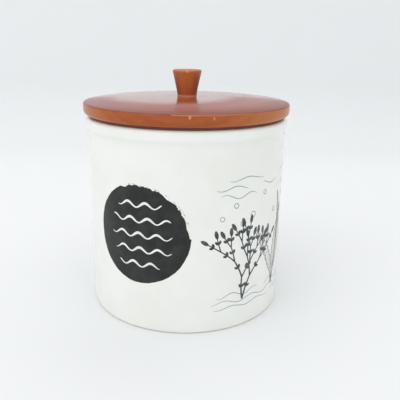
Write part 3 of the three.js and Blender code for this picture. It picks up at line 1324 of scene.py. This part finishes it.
def make_seal():
    bore = PLUG_NECK + SEAL_PLAY
    fin_tip = MOUTH_RADIUS - SEAL_PLAY
    sleeve = fin_tip - FIN_REACH
    fins = []
    for start in FIN_STARTS:
        low = SEAL_BOTTOM + start
        fins.append((sleeve, low))
        fins.append((fin_tip, low + FIN_HEIGHT / 2, FIN_ROUND))
        fins.append((sleeve, low + FIN_HEIGHT))
    profile = rounded([
        (bore, SEAL_BOTTOM, SLEEVE_INNER_ROUND),
        (sleeve, SEAL_BOTTOM, SLEEVE_OUTER_ROUND),
        *fins,
        (sleeve, RIM_LEVEL, SLEEVE_CORNER),
        (FLANGE_RADIUS, RIM_LEVEL, FLANGE_ROUND),
        (FLANGE_RADIUS, SEAL_TOP, FLANGE_ROUND),
        (bore, SEAL_TOP),
    ], closed=True)
    shape = turned(profile, even_spokes(UNDER_LID_SPOKES))
    seal = add_piece("seal_moulded", shape, "seal", [seal_rubber])
    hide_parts("seal_ring")


make_seal()

# %% Turn the screw and cut its slot
SLOT_LENGTH = 16.0
SLOT_WIDTH = 1.0
SLOT_DEPTH = 1.2
HEAD_EASE = 0.15
SCREW_POINT = 3.0
SCREW_SPOKES = 96
BRASS_BRIGHT = paint(204, 168, 102)
BRASS_TARNISHED = paint(150, 116, 66)


def make_brass():
    brass = Finish("screw_brass")
    place = brass.place()
    tarnish = brass.fade(brass.noise(place, scale=420.0, detail=4.0), 0.42, 0.68)
    scratches = brass.noise(brass.stretched(place, (300.0, 4200.0, 300.0)), detail=2.0)
    return brass.surface({
        "Base Color": brass.blend(tarnish, BRASS_BRIGHT, BRASS_TARNISHED),
        "Metallic": 1.0,
        "Roughness": 0.26 + 0.22 * tarnish + 0.10 * scratches,
        "Normal": brass.relief(scratches, strength=0.10, depth=0.00006),
    })


def slot_cutter():
    """A block that reaches as far into the screw's head as the slot is deep."""
    shape = bmesh.new()
    bmesh.ops.create_cube(shape, size=1.0)
    size = Vector((SLOT_LENGTH, SLOT_WIDTH, 2 * SLOT_DEPTH)) * MM
    bmesh.ops.scale(shape, vec=size, verts=shape.verts)
    bmesh.ops.translate(shape, vec=(0, 0, SCREW_FACE * MM), verts=shape.verts)
    return mesh_object("slot_cutter", shape)


def cut_slot(screw):
    """Cuts the slot with a Boolean modifier, and keeps the mesh that it gives."""
    cutter = slot_cutter()
    cut = screw.modifiers.new("slot", "BOOLEAN")
    cut.operation = "DIFFERENCE"
    cut.solver = "EXACT"
    cut.object = cutter
    graph = bpy.context.evaluated_depsgraph_get()
    slotted = bpy.data.meshes.new_from_object(screw.evaluated_get(graph))
    screw.modifiers.clear()
    screw.data = slotted
    slotted.set_sharp_from_angle(angle=SHARP_ANGLE)
    bpy.data.objects.remove(cutter)
    print("slotted screw:", len(slotted.polygons), "faces")


def make_screw():
    shoulder = SCREW_FACE + HEAD_LAND
    profile = rounded([
        (0, SCREW_FACE),
        (HEAD_RADIUS, SCREW_FACE, HEAD_EASE),
        (HEAD_RADIUS, shoulder),
        (SHANK_RADIUS, shoulder + HEAD_RADIUS - SHANK_RADIUS),
        (SHANK_RADIUS, SCREW_END - SCREW_POINT),
        (0, SCREW_END),
    ])
    shape = turned(profile, even_spokes(SCREW_SPOKES))
    screw = add_piece("screw_turned", shape, "lid", [make_brass()])
    cut_slot(screw)
    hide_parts("knob_screw")


make_screw()

# %% [markdown]
# ## The table and the light
# The jar stands on a white table in a bright room, so the light comes from nearly everywhere, a
# little more from the left. One sweep makes the table and the wall behind it. A wide soft lamp adds
# the lean to the left, and the room itself is a pale world that changes with height.

# %% Table and wall in one sweep
TABLE_FRONT = -5000.0
STAGE_HALF = 5000.0
WALL_BEHIND = 530.0
WALL_TOP = 275.0
COVE = 90.0
COVE_STEPS = 24
TABLE_DIM = paint(235, 236, 236)
TABLE_BRIGHT = paint(239, 240, 240)


def make_table_finish():
    cloth = Finish("pale_table")
    uneven = cloth.noise(cloth.place(), scale=3.0, detail=2.0)
    return cloth.surface({
        "Base Color": cloth.blend(uneven, TABLE_DIM, TABLE_BRIGHT),
        "Roughness": 0.62,
        "Specular IOR Level": 0.2,
    })


def make_table():
    path = [(TABLE_FRONT, 0.0)]
    for step in range(COVE_STEPS + 1):
        angle = step / COVE_STEPS * math.pi / 2
        path.append((WALL_BEHIND - COVE + COVE * math.sin(angle), COVE - COVE * math.cos(angle)))
    path.append((WALL_BEHIND, WALL_TOP))
    shape = bmesh.new()
    rows = []
    for depth, height in path:
        ends = [Vector((side * STAGE_HALF, depth, height)) * MM for side in (-1, 1)]
        rows.append([shape.verts.new(end) for end in ends])
    for low, high in zip(rows, rows[1:]):
        shape.faces.new((low[0], low[1], high[1], high[0])).smooth = True
    table = mesh_object("table", shape, [make_table_finish()])
    print("table:", len(table.data.polygons), "faces, with a wall", WALL_BEHIND, "mm behind the jar")


make_table()

# %% Light
HORIZON_LIGHT = paint(207, 210, 213)
WALL_LIGHT = paint(247, 251, 255)
ROOM_LIGHT = paint(160, 162, 164)
CEILING_LIGHT = paint(250, 251, 252)
ROOM_STRENGTH = 1.39
# the window's sizes and places are in metres
WINDOW_WIDTH = 1.5
WINDOW_HEIGHT = 1.2
WINDOW_POWER = 4.0
WINDOW_PLACE = Vector((-0.95, -1.0, 1.0))
WINDOW_AIM = Vector((0, 0, 0.07))


def make_room():
    """The room as a world: bright walls over the horizon, dimmer above them, and a bright ceiling."""
    world = bpy.data.worlds.new("bright_room")
    bpy.context.scene.world = world
    world.use_nodes = True
    room = Nodes(world.node_tree)
    height = room.parts(room.node("ShaderNodeTexCoord", output="Generated"))[2]
    light = room.ramp(height, [
        (0.10, HORIZON_LIGHT),
        (0.13, WALL_LIGHT),
        (0.20, WALL_LIGHT),
        (0.29, ROOM_LIGHT),
        (0.50, ROOM_LIGHT),
        (0.80, CEILING_LIGHT),
    ])
    background = room.node("ShaderNodeBackground", {}, {"Color": light, "Strength": ROOM_STRENGTH})
    room.node("ShaderNodeOutputWorld", {}, {"Surface": background})


def make_window():
    lamp = bpy.data.lights.new("window", "AREA")
    lamp.shape = "RECTANGLE"
    lamp.size = WINDOW_WIDTH
    lamp.size_y = WINDOW_HEIGHT
    lamp.energy = WINDOW_POWER
    window = in_scene("window", lamp)
    window.location = WINDOW_PLACE
    window.rotation_euler = (WINDOW_AIM - WINDOW_PLACE).to_track_quat("-Z", "Y").to_euler()


make_room()
make_window()
bpy.context.scene.view_settings.view_transform = "Standard"
print("light: a room, and a window of", WINDOW_POWER, "watts")

# %% [markdown]
# ## Camera
# The camera stands a little above the lid and looks down at the jar. Its place, tilt and lens were
# worked out from the ellipses of the rim, the lid and the foot in the photograph.

# %% Place the camera
CAMERA_PLACE = Vector((8.6, -300.6, 155.0))
CAMERA_PITCH = 0.3077
CAMERA_ROLL = 0.0151
CAMERA_LENS = 45.07
SENSOR_WIDTH = 36.0
NEAREST_SEEN = 10.0


def make_camera():
    data = bpy.data.cameras.new("camera")
    data.sensor_width = SENSOR_WIDTH
    data.lens = CAMERA_LENS
    data.clip_start = NEAREST_SEEN * MM
    camera = in_scene("camera", data)
    tilt = Matrix.Rotation(math.pi / 2 - CAMERA_PITCH, 4, "X")
    roll = Matrix.Rotation(CAMERA_ROLL, 4, "Z")
    camera.matrix_world = Matrix.Translation(CAMERA_PLACE * MM) @ tilt @ roll
    bpy.context.scene.camera = camera
    print(f"camera {CAMERA_PLACE.length:.0f} mm away, {math.degrees(CAMERA_PITCH):.1f} degrees down")


make_camera()
